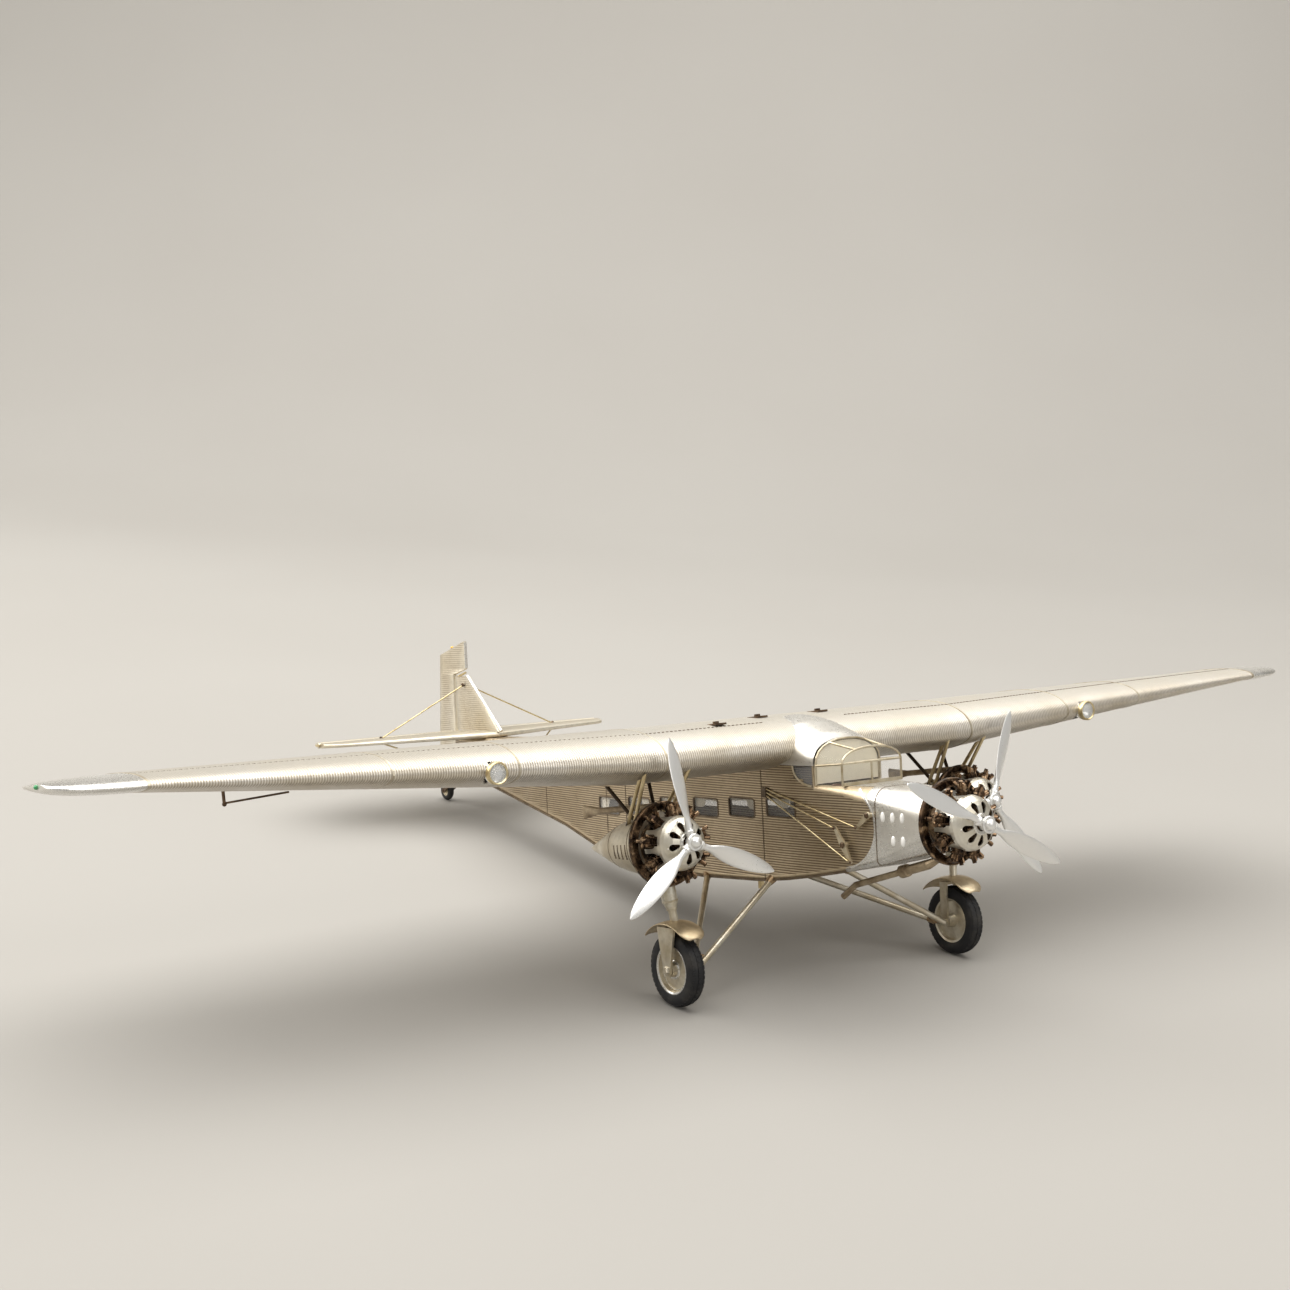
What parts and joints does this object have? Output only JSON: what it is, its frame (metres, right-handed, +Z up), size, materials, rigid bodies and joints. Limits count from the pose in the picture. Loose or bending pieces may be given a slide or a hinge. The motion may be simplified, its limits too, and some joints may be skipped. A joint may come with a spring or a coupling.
{
  "type": "model airplane",
  "caption": "Metal display model of a high-wing corrugated airliner with radial engines, turning propellers and wheels, and hinged rudder, elevator and ailerons.",
  "frame": {"origin": "on the ground, under the middle of the whole model's box", "axes": "+X towards the nose, +Y towards the left wing tip, +Z up; the model stands on its three wheels"},
  "size_m": [0.4786, 0.7446, 0.1272],
  "materials": {
    "ribbed_skin": "corrugated, aged with a warm patina",
    "smooth_metal": "smooth, hand polished, lightly scratched",
    "cowl_metal": "satin, spun",
    "blade_metal": "bright brushed",
    "frame_metal": "drawn strip, aged",
    "engine_bronze": "dark bronze with copper on the edges",
    "exhaust_metal": "burnt, dull",
    "strut_metal": "satin, aged",
    "guard_metal": "satin tan",
    "wire_metal": "bright drawn wire",
    "wheel_metal": "satin disc",
    "tyre_rubber": "matt, moulded blocks",
    "smoked_pane": "thin smoked sheet",
    "clear_lens": "clear",
    "green_lens": "coloured",
    "orange_lens": "coloured",
    "curtain_paint": "matt cream, pressed in folds",
    "cabin_panel": "plain sheet",
    "seat_paint": "satin dark brown",
    "panel_black": "matt"
  },
  "bodies": {
    "airframe": {"cabin_shell": "ribbed_skin", "nose_shell": "smooth_metal", "roof_fairing": "smooth_metal", "canopy_frame": "frame_metal", "glazing": "smoked_pane", "curtains": "curtain_paint", "cabin_floor": "cabin_panel", "pilot_seats": "seat_paint", "instrument_panel": "panel_black", "drain_pipe": "wire_metal", "wing_center": "ribbed_skin", "wing_left": "ribbed_skin", "wing_right": "ribbed_skin", "tip_left": "smooth_metal", "tip_right": "smooth_metal", "wing_spar": "cabin_panel", "filler_caps": "frame_metal", "light_housings": "smooth_metal", "light_lenses": "clear_lens", "nav_lights": "green_lens", "pitot_boom": "frame_metal", "fin": "ribbed_skin", "rudder_post": "wire_metal", "tailplane": "ribbed_skin", "tail_braces": "wire_metal", "hinge_wires": "wire_metal", "shock_sleeves": "strut_metal", "lower_legs": "strut_metal", "vee_struts": "strut_metal", "mudguards": "guard_metal", "crankcases": "engine_bronze", "nose_cylinders": "engine_bronze", "left_cylinders": "engine_bronze", "right_cylinders": "engine_bronze", "nose_cowl": "cowl_metal", "left_cowl": "cowl_metal", "right_cowl": "cowl_metal", "collector_rings": "engine_bronze", "exhaust_pipes": "exhaust_metal", "nacelle_left": "smooth_metal", "nacelle_right": "smooth_metal", "engine_mounts": "strut_metal", "control_levers": "frame_metal", "control_wires": "wire_metal", "wire_plates": "frame_metal"},
    "nose_airscrew": {"nose_propeller": "blade_metal"},
    "left_airscrew": {"left_propeller": "blade_metal"},
    "right_airscrew": {"right_propeller": "blade_metal"},
    "left_roller": {"wheel_left": "wheel_metal", "tyre_left": "tyre_rubber"},
    "right_roller": {"wheel_right": "wheel_metal", "tyre_right": "tyre_rubber"},
    "tail_swivel": {"tail_fork": "engine_bronze"},
    "tail_roller": {"tail_wheel": "wheel_metal", "tail_tyre": "tyre_rubber"},
    "rudder_leaf": {"rudder": "ribbed_skin", "tail_lamp": "orange_lens"},
    "elevator_leaf": {"elevator": "ribbed_skin"},
    "left_aileron": {"aileron_left": "ribbed_skin"},
    "right_aileron": {"aileron_right": "ribbed_skin"}
  },
  "joints": [
    {"name": "nose_propeller_spin", "type": "hinge", "parent": "airframe", "child": "nose_airscrew", "pos_m": [0.23404, 0, 0.10269], "axis": [0.9823, 0, 0.1873], "continuous": true},
    {"name": "left_propeller_spin", "type": "hinge", "parent": "airframe", "child": "left_airscrew", "pos_m": [0.14603, 0.0935, 0.08164], "axis": [0.9573, 0, 0.2889], "continuous": true},
    {"name": "right_propeller_spin", "type": "hinge", "parent": "airframe", "child": "right_airscrew", "pos_m": [0.14603, -0.0935, 0.08164], "axis": [0.9573, 0, 0.2889], "continuous": true},
    {"name": "left_wheel_spin", "type": "hinge", "parent": "airframe", "child": "left_roller", "pos_m": [0.13374, 0.0874, 0.0174], "axis": [0, 1, 0], "continuous": true},
    {"name": "right_wheel_spin", "type": "hinge", "parent": "airframe", "child": "right_roller", "pos_m": [0.13374, -0.0874, 0.0174], "axis": [0, 1, 0], "continuous": true},
    {"name": "tail_wheel_swivel", "type": "hinge", "parent": "airframe", "child": "tail_swivel", "pos_m": [-0.20597, 0, 0.02491], "axis": [-0.1873, 0, 0.9823], "range_deg": [-45, 45]},
    {"name": "tail_wheel_spin", "type": "hinge", "parent": "tail_swivel", "child": "tail_roller", "pos_m": [-0.22344, 0, 0.006], "axis": [0, 1, 0], "continuous": true},
    {"name": "rudder_hinge", "type": "hinge", "parent": "airframe", "child": "rudder_leaf", "pos_m": [-0.21794, 0, 0.05724], "axis": [-0.1873, 0, 0.9823], "range_deg": [-25, 25]},
    {"name": "elevator_hinge", "type": "hinge", "parent": "airframe", "child": "elevator_leaf", "pos_m": [-0.2101, 0, 0.0455], "axis": [0, 1, 0], "range_deg": [-25, 25]},
    {"name": "left_aileron_hinge", "type": "hinge", "parent": "airframe", "child": "left_aileron", "pos_m": [0.03625, 0.205, 0.10002], "axis": [0.1158, 0.9904, 0.0755], "range_deg": [-20, 20]},
    {"name": "right_aileron_hinge", "type": "hinge", "parent": "airframe", "child": "right_aileron", "pos_m": [0.03625, -0.205, 0.10002], "axis": [-0.1158, 0.9904, -0.0755], "range_deg": [-20, 20]}
  ],
  "couplings": [
    {"joint": "right_aileron_hinge", "follows": "left_aileron_hinge", "ratio": -1}
  ]
}
